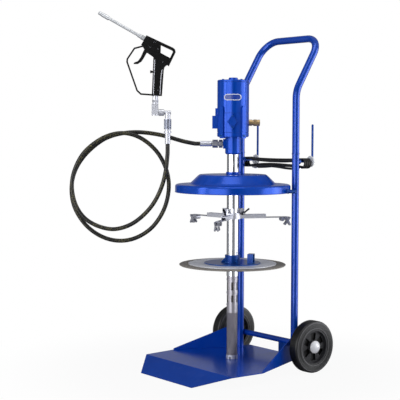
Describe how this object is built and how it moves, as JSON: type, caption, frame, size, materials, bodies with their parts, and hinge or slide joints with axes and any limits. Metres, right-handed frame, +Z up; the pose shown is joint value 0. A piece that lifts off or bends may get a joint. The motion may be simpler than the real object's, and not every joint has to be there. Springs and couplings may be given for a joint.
{
  "type": "mobile grease unit",
  "caption": "Two-wheeled drum trolley with an air-operated grease pump, drum cover, clamp star, follower plate, delivery hose and control gun.",
  "frame": {"origin": "centre of the drum plate's top face, on the pump's axis", "axes": "+Z up along the pump's axis, +X to the trolley's right wheel, -Y towards the lip"},
  "size_m": [0.663, 0.8305, 1.3747],
  "materials": {
    "blue_paint": "gloss",
    "dark_blue": "gloss",
    "zinc": "satin",
    "bright_tube": "polished",
    "strainer": "mesh",
    "slotted": "satin",
    "brass": "turned",
    "white": "smooth",
    "hose_rubber": "matt",
    "tyre_rubber": "matt",
    "rim_black": "semi-gloss",
    "seal_rubber": "worn matt",
    "gun_black": "semi-gloss",
    "steel_disc": "satin"
  },
  "bodies": {
    "trolley": {"base_plate": "blue_paint", "side_panel_left": "blue_paint", "side_panel_right": "blue_paint", "axle_web": "dark_blue", "post_left": "blue_paint", "post_right": "blue_paint", "handle_bar": "blue_paint", "axle_tube": "blue_paint", "axle_rod": "zinc", "hose_hook_left": "blue_paint", "hose_hook_right": "blue_paint", "hook_discs": "white", "air_hose_hank": "hose_rubber", "hank_fittings": "zinc"},
    "wheel_left": {"tyre_left": "tyre_rubber", "rim_left": "rim_black", "cap_left": "zinc"},
    "wheel_right": {"tyre_right": "tyre_rubber", "rim_right": "rim_black", "cap_right": "zinc"},
    "pump": {"pump_foot": "zinc", "strainer_sleeve": "strainer", "slotted_tube": "slotted", "pump_tube": "bright_tube", "pump_neck": "blue_paint", "outlet_adapter": "zinc", "motor_base": "blue_paint", "valve_body": "blue_paint", "motor_cylinder": "blue_paint", "motor_cap": "blue_paint", "motor_plug": "blue_paint", "exhaust_box": "blue_paint", "valve_cover": "dark_blue", "valve_screws": "zinc", "air_inlet": "brass", "badge_plate": "white", "grease_hose": "hose_rubber", "hose_ferrules": "zinc"},
    "piston": {"air_piston": "zinc", "pump_rod": "zinc"},
    "cover": {"drum_cover": "blue_paint", "rim_nuts": "dark_blue"},
    "screw_front": {"rim_screw_front": "dark_blue"},
    "screw_rear": {"rim_screw_rear": "dark_blue"},
    "clamp": {"clamp_hub": "zinc"},
    "lever_a": {"clamp_lever_a": "zinc"},
    "lever_b": {"clamp_lever_b": "zinc"},
    "arm_a": {"arm_bar_a": "zinc"},
    "arm_b": {"arm_bar_b": "zinc"},
    "arm_c": {"arm_bar_c": "zinc"},
    "follower": {"follower_seal": "seal_rubber", "follower_disc": "steel_disc", "follower_plate": "dark_blue"},
    "elbow": {"swivel_elbow": "zinc"},
    "gun": {"swivel_block": "zinc", "gun_body": "gun_black", "gun_guard": "gun_black", "nozzle_tube": "zinc"},
    "trigger": {"trigger": "gun_black"},
    "lock_button": {"lock_button": "gun_black"}
  },
  "joints": [
    {"name": "wheel_left_turn", "type": "hinge", "parent": "trolley", "child": "wheel_left", "pos_m": [-0.2305, 0.20505, 0.057], "axis": [1, 0, 0], "continuous": true},
    {"name": "wheel_right_turn", "type": "hinge", "parent": "trolley", "child": "wheel_right", "pos_m": [0.2305, 0.20505, 0.057], "axis": [1, 0, 0], "continuous": true},
    {"name": "pump_lift", "type": "slide", "parent": "trolley", "child": "pump", "axis": [0, 0, 1], "range_m": [0, 0.03]},
    {"name": "piston_stroke", "type": "slide", "parent": "pump", "child": "piston", "axis": [0, 0, 1], "range_m": [0, 0.05]},
    {"name": "cover_slide", "type": "slide", "parent": "pump", "child": "cover", "axis": [0, 0, 1], "range_m": [-0.075, 0.02]},
    {"name": "screw_front_travel", "type": "slide", "parent": "cover", "child": "screw_front", "axis": [0.8918, 0.4524, 0], "range_m": [0, 0.01]},
    {"name": "screw_rear_travel", "type": "slide", "parent": "cover", "child": "screw_rear", "axis": [-0.8377, 0.5461, 0], "range_m": [0, 0.01]},
    {"name": "clamp_slide", "type": "slide", "parent": "pump", "child": "clamp", "axis": [0, 0, 1], "range_m": [-0.1, 0.07]},
    {"name": "lever_a_turn", "type": "hinge", "parent": "clamp", "child": "lever_a", "pos_m": [0.03428, 0.02587, 0.566], "axis": [0.9048, -0.4258, 0], "range_deg": [-15, 15]},
    {"name": "lever_b_turn", "type": "hinge", "parent": "clamp", "child": "lever_b", "pos_m": [0.00526, -0.04262, 0.566], "axis": [-0.8211, -0.5707, 0], "range_deg": [-15, 15]},
    {"name": "arm_a_slide", "type": "slide", "parent": "clamp", "child": "arm_a", "axis": [0.4258, 0.9048, 0], "range_m": [-0.03, 0.015]},
    {"name": "arm_b_slide", "type": "slide", "parent": "clamp", "child": "arm_b", "axis": [-0.9965, -0.0837, 0], "range_m": [-0.03, 0.015]},
    {"name": "arm_c_slide", "type": "slide", "parent": "clamp", "child": "arm_c", "axis": [0.5707, -0.8211, 0], "range_m": [-0.03, 0.015]},
    {"name": "follower_slide", "type": "slide", "parent": "pump", "child": "follower", "axis": [0, 0, 1], "range_m": [-0.285, 0.1]},
    {"name": "elbow_swivel", "type": "hinge", "parent": "pump", "child": "elbow", "pos_m": [-0.1208, -0.22345, 0.906], "axis": [0, 0, 1], "range_deg": [-90, 90]},
    {"name": "gun_swivel", "type": "hinge", "parent": "elbow", "child": "gun", "pos_m": [-0.14576, -0.25472, 0.951], "axis": [-0.6239, -0.7815, 0], "range_deg": [-90, 90]},
    {"name": "trigger_pull", "type": "hinge", "parent": "gun", "child": "trigger", "pos_m": [-0.1626, -0.27582, 1.197], "axis": [-0.7815, 0.6239, 0], "range_deg": [-14, 0], "stiffness_Nm_per_rad": 0.6, "springref_deg": 17.19},
    {"name": "lock_push", "type": "slide", "parent": "gun", "child": "lock_button", "axis": [0.6239, 0.7815, 0], "range_m": [0, 0.004], "stiffness_N_per_m": 300, "springref_m": -0.002}
  ]
}
